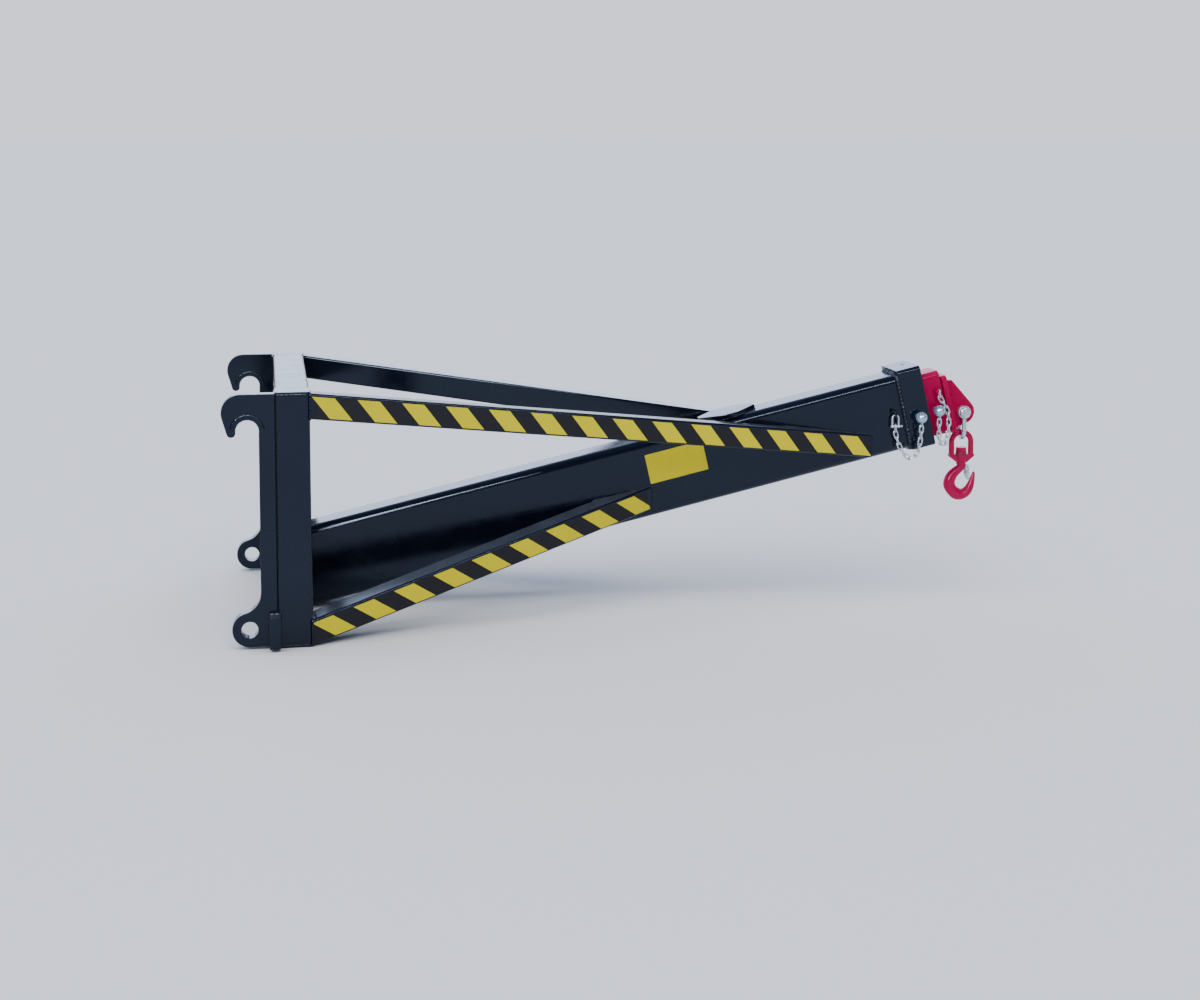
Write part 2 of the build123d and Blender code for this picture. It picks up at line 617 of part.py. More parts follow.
def shackle():
    """Bow shackle on the lug: forged bow, bolt with a domed head, nut and split pin."""
    jaw = LUG_T / 2 + SHACKLE_JAW_GAP
    outside = jaw + SHACKLE_EAR_W
    ear_y = jaw + SHACKLE_EAR_W / 2
    bow_z = -(SHACKLE_REACH + SHACKLE_WIRE / 2 - SHACKLE_BOW_R)
    touch_y, touch_z = tangent_below((-ear_y, 0), (0, bow_z), SHACKLE_BOW_R)
    corners = [(-ear_y, 0), (touch_y, touch_z), (0, bow_z - SHACKLE_BOW_R), (-touch_y, touch_z), (ear_y, 0)]
    a, b, c, d, e = [Vector(LUG_PIN.X, y, LUG_PIN.Z + z) for y, z in corners]
    bow = bent_bar(Wire([Line(a, b), ThreePointArc(b, c, d), Line(d, e)]), SHACKLE_WIRE / 2)
    for side in (-1, 1):
        ear = bar_y(LUG_PIN.X, LUG_PIN.Z, SHACKLE_EAR_R, jaw, outside)
        bow += ear if side < 0 else mirror(ear, about=Plane.XZ)
    bow -= bar_y(LUG_PIN.X, LUG_PIN.Z, SHACKLE_BOLT_R + SHACKLE_RUN, -2 * outside, 2 * outside)
    keep(bow, "shackle_bow")
    end = outside + NUT_T + BOLT_OVER
    head = bar_y(LUG_PIN.X, LUG_PIN.Z, BOLT_HEAD_R, outside, outside + BOLT_HEAD_T)
    head = fillet(head.edges().sort_by(Axis.Y)[0], BOLT_HEAD_DOME)
    split = Plane(origin=(LUG_PIN.X, outside + NUT_T + BOLT_OVER / 2, LUG_PIN.Z), z_dir=(1, 0, 0)).location
    bolt = head + bar_y(LUG_PIN.X, LUG_PIN.Z, SHACKLE_BOLT_R, -end, outside)
    keep(bolt - split * Cylinder(COTTER_R + SHACKLE_RUN, 4 * SHACKLE_BOLT_R), "shackle_bolt")
    hexagon = RegularPolygon(NUT_FLATS / 2, 6, major_radius=False) - Circle(SHACKLE_BOLT_R + SHACKLE_RUN)
    keep(slab(Pos(LUG_PIN.X, LUG_PIN.Z) * hexagon, -outside - NUT_T, -outside), "shackle_nut")
    reach = SHACKLE_BOLT_R + COTTER_OVER
    cotter = split * Cylinder(COTTER_R, 2 * reach)
    cotter += split * Pos(0, 0, reach + COTTER_EYE_R) * Rot(90, 0, 0) * Torus(COTTER_EYE_R, COTTER_R)
    keep(cotter, "shackle_cotter")


def hook_bail():
    """Forged ring of the swivel: a round bail that narrows to a bored boss."""
    half = (BAIL_W - BAIL_WIRE) / 2
    turn_z = BAIL_TOP_Z - half
    foot_z = BAIL_FLOOR_Z - BAIL_WIRE / 2
    corners = [(-half, foot_z), (-half, turn_z), (0, BAIL_TOP_Z), (half, turn_z), (half, foot_z)]
    a, b, c, d, e = [Vector(LUG_PIN.X + x, 0, z) for x, z in corners]
    bail = bent_bar(Wire([Line(a, b), ThreePointArc(b, c, d), Line(d, e)]), BAIL_WIRE / 2)
    outline = [
        (LUG_PIN.X + BAIL_W / 2, BAIL_FLOOR_Z - BAIL_SHOULDER),
        (LUG_PIN.X + BAIL_W / 2, BAIL_FLOOR_Z),
        (LUG_PIN.X - BAIL_W / 2, BAIL_FLOOR_Z),
        (LUG_PIN.X - BAIL_W / 2, BAIL_FLOOR_Z - BAIL_SHOULDER),
        (LUG_PIN.X - BAIL_BOSS_FOOT_R, BOSS_FOOT_Z),
        (LUG_PIN.X + BAIL_BOSS_FOOT_R, BOSS_FOOT_Z),
    ]
    bail += slab(Polygon(*outline, align=None), -BAIL_WIRE / 2, BAIL_WIRE / 2)
    middle = Pos(LUG_PIN.X, 0, BOSS_FOOT_Z + BAIL_BOSS_H / 2)
    bail += middle * Cone(BAIL_BOSS_FOOT_R, BAIL_BOSS_R, BAIL_BOSS_H)
    keep(bail - middle * Cylinder(SHANK_R + SHANK_RUN, 2 * BAIL_BOSS_H), "hook_bail")


def hook():
    """Swivel hook with its nut and washer inside the bail, and the spring latch across its mouth."""
    washer_z = BAIL_FLOOR_Z + HOOK_GAP
    nut_z = washer_z + WASHER_T
    shank_top = nut_z + SWIVEL_NUT_H
    on_axis = Pos(LUG_PIN.X, 0, 0)
    shank = on_axis * Pos(0, 0, (shank_top + HOOK_TOP_Z) / 2) * Cylinder(SHANK_R, shank_top - HOOK_TOP_Z)
    collar = on_axis * Pos(0, 0, HOOK_TOP_Z - HOOK_COLLAR_H / 2) * Cylinder(HOOK_COLLAR_R, HOOK_COLLAR_H)
    centres = [Vector(LUG_PIN.X + ahead, 0, HOOK_TOP_Z - drop) for ahead, drop, radius in HOOK_SECTIONS]
    rings = []
    for i, (ahead, drop, radius) in enumerate(HOOK_SECTIONS):
        run = centres[min(i + 1, len(centres) - 1)] - centres[max(i - 1, 0)]
        normal = Vector(0, 0, -1) if i == 0 else run
        rings.append(Plane(origin=centres[i], x_dir=(0, 1, 0), z_dir=normal) * Circle(radius))
    curve = loft(rings)
    tip = Pos(*centres[-1]) * Sphere(HOOK_SECTIONS[-1][2])
    pivot = Vector(LUG_PIN.X + LATCH_AHEAD, 0, HOOK_TOP_Z - LATCH_DROP)
    ear_face = make_hull(
        (Pos(pivot.X, pivot.Z) * Circle(LATCH_EAR_R)).edges()
        + (Pos(LUG_PIN.X, HOOK_TOP_Z - LATCH_NECK_DROP) * Circle(LATCH_NECK_R)).edges()
    )
    ear = slab(ear_face, -LATCH_EAR_T / 2, LATCH_EAR_T / 2)
    pin_room = bar_y(pivot.X, pivot.Z, LATCH_PIN_R, -LATCH_W, LATCH_W)
    keep(curve + tip + collar + shank + ear - pin_room, "hook_body")
    ring = Circle(SWIVEL_NUT_R) - Circle(SHANK_R)
    nut = extrude(Plane.XY.offset(nut_z) * ring, amount=SWIVEL_NUT_H)
    keep(on_axis * chamfer(nut.edges().sort_by(Axis.Z)[-1], SWIVEL_NUT_CHAMFER), "swivel_nut")
    ring = Circle(WASHER_R) - Circle(SHANK_R)
    keep(on_axis * extrude(Plane.XY.offset(washer_z) * ring, amount=WASHER_T), "thrust_washer")
    latch(pivot)


def latch(pivot):
    """Pressed latch: a tongue with folded sides closes the hook's mouth, hung on a riveted pin."""
    cheek_in = LATCH_EAR_T / 2 + LATCH_CHEEK_GAP
    cheek_out = cheek_in + LATCH_CHEEK_T
    coil_start = cheek_out + SPRING_GAP + SPRING_WIRE / 2
    coil_end = coil_start + SPRING_QUARTERS * SPRING_PITCH / 4
    near = cheek_out + LATCH_PIN_OVER
    far = coil_end + SPRING_WIRE / 2 + SPRING_GAP
    pin = bar_y(pivot.X, pivot.Z, LATCH_PIN_R, -far, near)
    pin += bar_y(pivot.X, pivot.Z, RIVET_R, near, near + RIVET_T)
    pin += bar_y(pivot.X, pivot.Z, RIVET_R, -far - RIVET_T, -far)
    keep(pin, "latch_pin")
    keep(latch_spring(pivot, coil_start), "latch_spring")
    lean = Pos(pivot.X, pivot.Z) * Rot(0, 0, LATCH_LEAN)
    tongue = Pos(0, -(LATCH_ROOT + LATCH_ARM) / 2) * Rectangle(LATCH_T, LATCH_ARM - LATCH_ROOT)
    outer = LATCH_T / 2
    inner = outer - LATCH_DEPTH
    fold = [(outer, -LATCH_ROOT), (outer, -LATCH_ARM), (0, -LATCH_ARM), (inner, LATCH_TAPER - LATCH_ARM)]
    side = Polygon(*fold, (inner, -LATCH_ROOT), align=None)
    cheek = make_hull(Circle(LATCH_CHEEK_R).edges() + side.edges()) - Circle(LATCH_PIN_R + LATCH_PIN_RUN)
    shape = slab(lean * tongue, -cheek_out, cheek_out)
    shape += slab(lean * cheek, cheek_in, cheek_out)
    shape += slab(lean * cheek, -cheek_out, -cheek_in)
    keep(shape, "hook_latch")


def latch_spring(pivot, start):
    """Wound spring on the latch pin: one leg behind the latch, the other beside the hook's neck."""

    def at(across, down, y):
        turn = math.radians(LATCH_LEAN)
        x = across * math.cos(turn) + down * math.sin(turn)
        z = across * math.sin(turn) - down * math.cos(turn)
        return Vector(pivot.X + x, y, pivot.Z + z)

    def coil(eighths):
        turn = math.pi - eighths * math.pi / 4
        y = start + eighths * SPRING_PITCH / 8
        return at(SPRING_COIL_R * math.cos(turn), -SPRING_COIL_R * math.sin(turn), y)

    behind = (LATCH_T - SPRING_WIRE) / 2 - LATCH_DEPTH - SPRING_TONGUE_GAP
    foot = at(behind, SPRING_LEG, start)
    edges = [Line(foot, coil(0))]
    for quarter in range(SPRING_QUARTERS):
        edges.append(ThreePointArc(coil(2 * quarter), coil(2 * quarter + 1), coil(2 * quarter + 2)))
    last = coil(2 * SPRING_QUARTERS)
    edges.append(Line(last, last + Vector(-SPRING_HOOK_LEG, 0, 0)))
    catch = Plane(origin=foot, z_dir=(0, -1, 0)) * Circle(SPRING_WIRE / 2)
    spring = bent_bar(Wire(edges), SPRING_WIRE / 2)
    return spring + extrude(catch, amount=start) + Pos(*foot) * Sphere(SPRING_WIRE / 2)


def main():
    os.makedirs("parts", exist_ok=True)
    hitch_plates()
    hook_liners()
    stop_blocks()
    portal_frame()
    struts()
    boom()
    stages()
    lifting_lug()
    tab_1 = lock_pin(LOCK_1_STATION, COLLAR_FACE, STAGE_1_W / 2, "lock_pin_1")
    tab_2 = lock_pin(LOCK_2_STATION, STAGE_1_W / 2, STAGE_2_W / 2, "lock_pin_2")
    pin_chains(tab_1, tab_2)
    shackle()
    hook_bail()
    hook()


main()
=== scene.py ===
import math

import bmesh
import bpy
from mathutils import Matrix, Vector


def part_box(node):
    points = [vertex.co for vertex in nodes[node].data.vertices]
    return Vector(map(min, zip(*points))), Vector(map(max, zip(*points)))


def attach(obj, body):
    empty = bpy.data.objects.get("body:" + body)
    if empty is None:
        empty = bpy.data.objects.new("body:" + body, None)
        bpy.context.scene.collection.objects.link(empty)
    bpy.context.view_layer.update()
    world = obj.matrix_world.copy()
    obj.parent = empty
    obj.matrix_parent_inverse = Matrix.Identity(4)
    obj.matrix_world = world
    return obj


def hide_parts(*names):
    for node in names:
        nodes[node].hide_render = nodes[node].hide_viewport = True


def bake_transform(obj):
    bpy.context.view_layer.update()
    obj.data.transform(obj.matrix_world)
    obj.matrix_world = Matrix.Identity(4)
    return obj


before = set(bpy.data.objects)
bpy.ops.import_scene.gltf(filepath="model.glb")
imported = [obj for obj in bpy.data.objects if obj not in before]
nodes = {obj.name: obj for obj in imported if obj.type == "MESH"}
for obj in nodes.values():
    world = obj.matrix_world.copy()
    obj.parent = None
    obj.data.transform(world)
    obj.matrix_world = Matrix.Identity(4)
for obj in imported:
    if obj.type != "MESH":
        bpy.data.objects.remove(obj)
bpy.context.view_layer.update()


# Hitch plates: 30 mm plate, flame cut to a claw, a welded strip and a lower eye in one piece. Half-round
# liners are welded into the claws and stop blocks onto the feet, and all is sprayed with black gloss enamel.
# The hitch shaft rubs most of the paint off the claws' seats, and the pins chip it in the eyes.
def finish(name):
    """A new material: its node tree, its shader and its Object coordinates."""
    material = bpy.data.materials.new(name)
    material.use_nodes = True
    tree = material.node_tree
    shader = tree.nodes["Principled BSDF"]
    coords = tree.nodes.new("ShaderNodeTexCoord").outputs["Object"]
    return material, tree, shader, coords


def mottle(tree, coords, scale, detail=3.0):
    """Noise on the piece's own coordinates, in features per metre."""
    noise = tree.nodes.new("ShaderNodeTexNoise")
    noise.inputs["Scale"].default_value = scale
    noise.inputs["Detail"].default_value = detail
    tree.links.new(coords, noise.inputs["Vector"])
    return noise.outputs["Fac"]


def spread(tree, value, low, high, start=0.3, end=0.7):
    """Carry a value between two bounds over to a range of its own."""
    ramp = tree.nodes.new("ShaderNodeMapRange")
    ramp.inputs["From Min"].default_value = start
    ramp.inputs["From Max"].default_value = end
    ramp.inputs["To Min"].default_value = low
    ramp.inputs["To Max"].default_value = high
    tree.links.new(value, ramp.inputs["Value"])
    return ramp.outputs["Result"]


def two_tone(tree, value, first, second):
    """Mix two colours by a value."""
    mix = tree.nodes.new("ShaderNodeMix")
    mix.data_type = "RGBA"
    mix.inputs["A"].default_value = (*first, 1)
    mix.inputs["B"].default_value = (*second, 1)
    tree.links.new(value, mix.inputs["Factor"])
    return mix.outputs["Result"]


def over(tree, value, under, colour):
    """Lay one colour over what is already there, by a value."""
    mix = tree.nodes.new("ShaderNodeMix")
    mix.data_type = "RGBA"
    mix.inputs["B"].default_value = (*colour, 1)
    tree.links.new(value, mix.inputs["Factor"])
    tree.links.new(under, mix.inputs["A"])
    return mix.outputs["Result"]


def both(tree, first, second):
    """The product of two values."""
    product = tree.nodes.new("ShaderNodeMath")
    product.operation = "MULTIPLY"
    tree.links.new(first, product.inputs[0])
    tree.links.new(second, product.inputs[1])
    return product.outputs[0]


def relief(tree, height, strength, distance, under=None):
    """Bump from a height value, laid over another bump if there is one."""
    bump = tree.nodes.new("ShaderNodeBump")
    bump.inputs["Strength"].default_value = strength
    bump.inputs["Distance"].default_value = distance
    tree.links.new(height, bump.inputs["Height"])
    if under is not None:
        tree.links.new(under, bump.inputs["Normal"])
    return bump.outputs["Normal"]


def enamel(name, deep, pale, gloss, tint, dust_and_sky_sheen):
    """Sprayed gloss enamel: waves of the sheet, orange peel, uneven gloss, and a pale bluish tone on upward
    faces that is settled dust and painted sky reflection in one.
    """
    cloud_grain, dust_and_sheen_grain, gloss_grain, wave_grain, peel_grain = 5, 14, 28, 7, 330
    dust_and_sky_sheen_tone = (0.22, 0.255, 0.33)
    level_from, level_to = 0.85, 0.97
    smooth, dull = 0.10, 0.19
    material, tree, shader, coords = finish(name)
    tone = two_tone(tree, spread(tree, mottle(tree, coords, cloud_grain), 0, 1), deep, pale)
    # Upward faces turn pale bluish: partly settled dust, partly a painted sky reflection that lightens the
    # tops.
    facing = tree.nodes.new("ShaderNodeSeparateXYZ")
    tree.links.new(coords.node.outputs["Normal"], facing.inputs[0])
    upward_dust_and_sheen = spread(tree, facing.outputs["Z"], 0, dust_and_sky_sheen, level_from, level_to)
    patches = spread(tree, mottle(tree, coords, dust_and_sheen_grain, 5.0), 0.6, 1.0)
    coat = over(tree, both(tree, upward_dust_and_sheen, patches), tone, dust_and_sky_sheen_tone)
    tree.links.new(coat, shader.inputs["Base Color"])
    sheen = spread(tree, mottle(tree, coords, gloss_grain), smooth, dull)
    tree.links.new(sheen, shader.inputs["Roughness"])
    waves = relief(tree, mottle(tree, coords, wave_grain, 1.0), 0.06, 0.003)
    peel = relief(tree, mottle(tree, coords, peel_grain, 2.0), 0.025, 0.0005, waves)
    tree.links.new(peel, shader.inputs["Normal"])
    shader.inputs["Specular IOR Level"].default_value = gloss
    shader.inputs["Specular Tint"].default_value = (*tint, 1)
    return material


same_point = 0.00001


def dress(node, material, edge):
    """Give a CAD node its finish and ease its sharp edges by a given width."""
    piece = nodes[node]
    piece.data.materials.clear()
    piece.data.materials.append(material)
    piece.data.polygons.foreach_set("use_smooth", [True] * len(piece.data.polygons))
    merge = piece.modifiers.new("merge", "WELD")
    merge.merge_threshold = same_point
    flatten = piece.modifiers.new("flatten", "DECIMATE")
    flatten.decimate_type = "DISSOLVE"
    flatten.angle_limit = math.radians(0.4)
    ease = piece.modifiers.new("eased edges", "BEVEL")
    ease.width = edge
    ease.segments = 2
    ease.limit_method = "ANGLE"
    ease.angle_limit = math.radians(40)
    level = piece.modifiers.new("level normals", "WEIGHTED_NORMAL")
    level.keep_sharp = False


black_gloss, black_tint = 0.36, (0.64, 0.76, 1.0)
# The black's upward faces get the pale bluish tone of dust and painted sky reflection.
black_enamel = enamel(
    "black_enamel", deep=(0.003, 0.0045, 0.010), pale=(0.005, 0.007, 0.015),
    gloss=black_gloss, tint=black_tint, dust_and_sky_sheen=0.22,
)
hitch_enamel = black_enamel.copy()
hitch_enamel.name = "hitch_enamel"
tree = hitch_enamel.node_tree
shader = tree.nodes["Principled BSDF"]
coords = next(n for n in tree.nodes if n.type == "TEX_COORD").outputs["Object"]
bare_steel = (0.40, 0.41, 0.43)
scuffs = mottle(tree, coords, 130, 4.0)
shaft_seat = (0.0, 0.026, 0.38)
lower_eye = (-0.46, 0.019, 0.56)
for height, radius, paint_left in (shaft_seat, lower_eye):
    from_axis = tree.nodes.new("ShaderNodeVectorMath")
    from_axis.operation = "MULTIPLY_ADD"
    from_axis.inputs[1].default_value = (1, 0, 1)
    from_axis.inputs[2].default_value = (0, 0, -height)
    tree.links.new(coords, from_axis.inputs[0])
    away = tree.nodes.new("ShaderNodeVectorMath")
    away.operation = "LENGTH"
    tree.links.new(from_axis.outputs["Vector"], away.inputs[0])
    at_wall = spread(tree, away.outputs["Value"], 1, 0, radius + 0.0003, radius + 0.0015)
    rubbed = both(tree, at_wall, spread(tree, scuffs, 0, 1, paint_left, paint_left + 0.12))
    painted = shader.inputs["Base Color"].links[0].from_socket
    tree.links.new(over(tree, rubbed, painted, bare_steel), shader.inputs["Base Color"])
plate_edge, liner_edge, block_edge = 0.0009, 0.0012, 0.0008
for side in ("left", "right"):
    dress(f"hitch_plate_{side}", hitch_enamel, plate_edge)
    dress(f"hook_liner_{side}", hitch_enamel, liner_edge)
    dress(f"stop_block_{side}", black_enamel, block_edge)


# Portal frame: two 80 mm square columns with welded caps, a cross tube at the top and a deep beam
# at the foot, all cold-formed box section, sawn square, welded and sprayed black.
sawn_edge, cap_edge = 0.0005, 0.0008
for side in ("left", "right"):
    dress(f"column_{side}", black_enamel, sawn_edge)
    dress(f"column_top_cap_{side}", black_enamel, cap_edge)
    dress(f"column_foot_cap_{side}", black_enamel, cap_edge)
dress("top_cross_tube", black_enamel, sawn_edge)
dress("lower_cross_beam", black_enamel, sawn_edge)


# Boom and bracing: a deep box tube tilted up from the foot beam, braced by four 60 mm square tubes that run
# out on its sides in long mitres. A small hexagonal plate is welded on its top and a collar round its end.
for side in ("left", "right"):
    dress(f"upper_strut_{side}", black_enamel, sawn_edge)
    dress(f"lower_strut_{side}", black_enamel, sawn_edge)
top_plate_edge, collar_edge = 0.0015, 0.0018
dress("boom_tube", black_enamel, sawn_edge)
dress("boom_top_plate", black_enamel, top_plate_edge)
dress("boom_collar", black_enamel, collar_edge)


# Weld beads: arc-welded fillets along the joints of the frame, painted over with it. Each bead follows the
# outline of one tube end, plate or liner where it meets its neighbour. The collar's bead and the plates' long
# seams are coarser. The collar's paint dries dull; the plates' seams are a darker, matte black as painted
# shade, so that the grooves beside the plates read as dark bands.
def seam(node, point, normal, pick=max):
    """The outer or inner outline of a node's flat end, as closed points: the end lies in the plane given."""
    shape = bmesh.new()
    shape.from_mesh(nodes[node].data)
    bmesh.ops.remove_doubles(shape, verts=shape.verts, dist=same_point)
    point = Vector(point)
    normal = Vector(normal)
    level = {v for v in shape.verts if abs((v.co - point).dot(normal)) < 0.0003}
    ends = {f for f in shape.faces if all(v in level for v in f.verts)}
    rim = [e for e in shape.edges if sum(f in ends for f in e.link_faces) == 1]
    loops = []
    while rim:
        loop = list(rim.pop(0).verts)
        while True:
            following = next((e for e in loop[-1].link_edges if e in rim), None)
            if following is None:
                break
            rim.remove(following)
            loop.append(following.other_vert(loop[-1]))
        loops.append([v.co.copy() for v in (loop[:-1] if loop[0] == loop[-1] else loop)])
    shape.free()
    return pick(loops, key=lambda loop: sum((a - b).length for a, b in zip(loop, loop[1:] + loop[:1])))


def lines(name, runs, closed):
    """A curve object of straight-run lines."""
    curve = bpy.data.curves.new(name, "CURVE")
    curve.dimensions = "3D"
    for run in runs:
        spline = curve.splines.new("POLY")
        spline.points.add(len(run) - 1)
        for spot, co in zip(spline.points, run):
            spot.co = (*co, 1)
        spline.use_cyclic_u = closed
    made = bpy.data.objects.new(name, curve)
    bpy.context.scene.collection.objects.link(made)
    return made


def rule_tree(name, sockets):
    """An empty node tree with named inputs, its input and output nodes and a way to add linked nodes."""
    tree = bpy.data.node_groups.new(name, "GeometryNodeTree")
    for label, kind in sockets:
        tree.interface.new_socket(label, in_out="INPUT", socket_type=kind)
    tree.interface.new_socket("Geometry", in_out="OUTPUT", socket_type="NodeSocketGeometry")
    given = tree.nodes.new("NodeGroupInput")
    result = tree.nodes.new("NodeGroupOutput")

    def add(kind, links=(), values=(), **settings):
        node = tree.nodes.new(kind)
        for key, value in settings.items():
            setattr(node, key, value)
        for socket, source in dict(links).items():
            tree.links.new(source, node.inputs[socket])
        for socket, value in dict(values).items():
            node.inputs[socket].default_value = value
        return node

    return tree, given.outputs, result.inputs, add


def made_by_rule(source, tree, values):
    """Turn an object into the plain mesh that a tree makes of it, under the same name."""
    rule = source.modifiers.new("rule", "NODES")
    rule.node_group = tree
    for item in tree.interface.items_tree:
        if item.in_out == "INPUT" and item.name in values:
            rule[item.identifier] = values[item.name]
    name = source.name
    source.name = name + "_source"
    depsgraph = bpy.context.evaluated_depsgraph_get()
    mesh = bpy.data.meshes.new_from_object(source.evaluated_get(depsgraph))
    bpy.data.objects.remove(source)
    made = bpy.data.objects.new(name, mesh)
    bpy.context.scene.collection.objects.link(made)
    return made


bead_tree, given, result, add = rule_tree(
    "weld_bead",
    [
        ("Geometry", "NodeSocketGeometry"),
        ("Radius", "NodeSocketFloat"),
        ("Ripple", "NodeSocketFloat"),
        ("Material", "NodeSocketMaterial"),
    ],
)
bead_step, ripple_swell, least_size = 0.003, 0.12, 0.5
drawn = add("GeometryNodeResampleCurve", {"Curve": given["Geometry"]}, {"Length": bead_step}, mode="LENGTH")
travel = add("GeometryNodeSplineParameter")
phase = add("ShaderNodeMath", {0: travel.outputs["Length"], 1: given["Ripple"]}, operation="DIVIDE")
turn = add("ShaderNodeMath", {0: phase.outputs[0]}, {1: math.tau}, operation="MULTIPLY")
wave = add("ShaderNodeMath", {0: turn.outputs[0]}, operation="SINE")
uneven = add("ShaderNodeTexNoise", values={"Scale": 60.0})
swell = add("ShaderNodeMath", {0: wave.outputs[0]}, {1: ripple_swell}, operation="MULTIPLY")
rough = add("ShaderNodeMath", {0: uneven.outputs["Fac"], 1: swell.outputs[0]}, operation="ADD")
size = add("ShaderNodeMath", {0: rough.outputs[0]}, {1: least_size}, operation="ADD")
ring = add("GeometryNodeCurvePrimitiveCircle", {"Radius": given["Radius"]}, {"Resolution": 8})
links = {"Curve": drawn.outputs["Curve"], "Profile Curve": ring.outputs["Curve"], "Scale": size.outputs[0]}
bead = add("GeometryNodeCurveToMesh", links, {"Fill Caps": True})
smooth = add("GeometryNodeSetShadeSmooth", {"Geometry": bead.outputs["Mesh"]})
whole = add("GeometryNodeRealizeInstances", {"Geometry": smooth.outputs["Geometry"]})
links = {"Geometry": whole.outputs["Geometry"], "Material": given["Material"]}
painted = add("GeometryNodeSetMaterial", links)
bead_tree.links.new(painted.outputs["Geometry"], result["Geometry"])

tilt = math.radians(12.8)
boom_along = Vector((math.cos(tilt), 0, math.sin(tilt)))
boom_up = Vector((-math.sin(tilt), 0, math.cos(tilt)))
column_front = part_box("column_right")[1].x
boom_root = Vector((column_front, 0, -0.406))
boom_half_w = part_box("boom_tube")[1].y
column_inner = -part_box("column_right")[1].y
column_outer = -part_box("column_right")[0].y


def on_boom(station, rise, y):
    """A point given along the boom, square to it and sideways."""
    return boom_root + boom_along * station + boom_up * rise + Vector((0, y, 0))


boom_head = 0.103
collar_rear = 1.588
frame_runs = []
slim_runs = []
for side, sign in (("right", -1), ("left", 1)):
    for strut in ("upper_strut", "lower_strut"):
        frame_runs.append(seam(f"{strut}_{side}", (column_front, 0, 0), (1, 0, 0)))
        slim_runs.append(seam(f"{strut}_{side}", (0, sign * boom_half_w, 0), (0, 1, 0)))
    frame_runs.append(seam("lower_cross_beam", (0, sign * column_inner, 0), (0, 1, 0)))
    frame_runs.append(seam(f"stop_block_{side}", (0, sign * column_outer, 0), (0, 1, 0)))
    column_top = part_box(f"column_{side}")[1].z
    frame_runs.append(seam(f"column_{side}", (0, 0, column_top), (0, 0, 1)))
frame_runs.append(seam("boom_tube", boom_root, (1, 0, 0)))
slim_runs.append(seam("boom_top_plate", on_boom(0, boom_head, 0), boom_up))
collar_runs = [seam("boom_collar", on_boom(collar_rear, 0, 0), boom_along, min)]
plate_low, plate_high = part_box("hitch_plate_right")
plate_t, seam_short = 0.030, 0.004
outer_groove = (plate_high.x + 0.0038, column_outer - 0.0044)
inner_groove = (plate_high.x - 0.0008, column_outer - plate_t - 0.0008)
groove_runs = []
for sign in (-1, 1):
    for x, y in (outer_groove, inner_groove):
        low_end = (x, sign * y, plate_low.z + seam_short)
        high_end = (x, sign * y, plate_high.z - seam_short)
        groove_runs.append([low_end, high_end])
liner_rim = -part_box("hook_liner_right")[0].x
bead_proud = 0.0008
outer_y = column_outer + bead_proud
inner_y = column_outer - plate_t - bead_proud
liner_runs = []
for y in (-outer_y, outer_y, -inner_y, inner_y):
    turns = [math.radians(4 * step) for step in range(46)]
    liner_runs.append([(liner_rim * math.cos(turn), y, liner_rim * math.sin(turn)) for turn in turns])
weld_enamel, tree, shader, coords = finish("weld_enamel")
weld_tone = two_tone(tree, mottle(tree, coords, 60), (0.006, 0.009, 0.016), (0.009, 0.012, 0.021))
tree.links.new(weld_tone, shader.inputs["Base Color"])
tree.links.new(spread(tree, mottle(tree, coords, 90), 0.34, 0.48), shader.inputs["Roughness"])
shader.inputs["Specular IOR Level"].default_value = black_gloss
shader.inputs["Specular Tint"].default_value = (*black_tint, 1)
# Painted shade: the seams in the grooves between plates and columns get a darker, matte black so that the
# grooves show as dark bands.
shaded_groove_seam, tree, shader, coords = finish("shaded_groove_seam")
painted_shade_seam_tone = two_tone(tree, mottle(tree, coords, 90), (0.002, 0.0025, 0.004), (0.005, 0.006, 0.009))
tree.links.new(painted_shade_seam_tone, shader.inputs["Base Color"])
tree.links.new(spread(tree, mottle(tree, coords, 160), 0.5, 0.7), shader.inputs["Roughness"])
shader.inputs["Specular IOR Level"].default_value = 0.08
bead_ripple = 0.0042
for name, paths, closed, radius, coat in (
    ("frame_welds", frame_runs, True, 0.0028, black_enamel),
    ("boom_welds", slim_runs, True, 0.0016, black_enamel),
    ("collar_weld", collar_runs, True, 0.0078, weld_enamel),
    ("liner_welds", liner_runs, False, 0.0028, black_enamel),
    ("plate_welds", groove_runs, False, 0.0038, shaded_groove_seam),
):
    bead_sizes = {"Radius": radius, "Ripple": bead_ripple, "Material": coat}
    weld = made_by_rule(lines(name, paths, closed), bead_tree, bead_sizes)
    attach(weld, "jib")


# Hazard tape: 48 mm vinyl along the outer faces of the bracing tubes, printed with slanted yellow bars.
# The black ground is one strip; the bars are laid out along it at an even pitch and end with it.
def vinyl(name, first, second, roughness):
    """Printed vinyl: slight mottling, a faint emboss and a soft gloss."""
    material, tree, shader, coords = finish(name)
    tree.links.new(two_tone(tree, mottle(tree, coords, 45, 4.0), first, second), shader.inputs["Base Color"])
    sheen = spread(tree, mottle(tree, coords, 70), roughness, roughness + 0.12)
    tree.links.new(sheen, shader.inputs["Roughness"])
    tree.links.new(relief(tree, mottle(tree, coords, 520, 1.0), 0.06, 0.0003), shader.inputs["Normal"])
    shader.inputs["Specular IOR Level"].default_value = 0.15
    return material


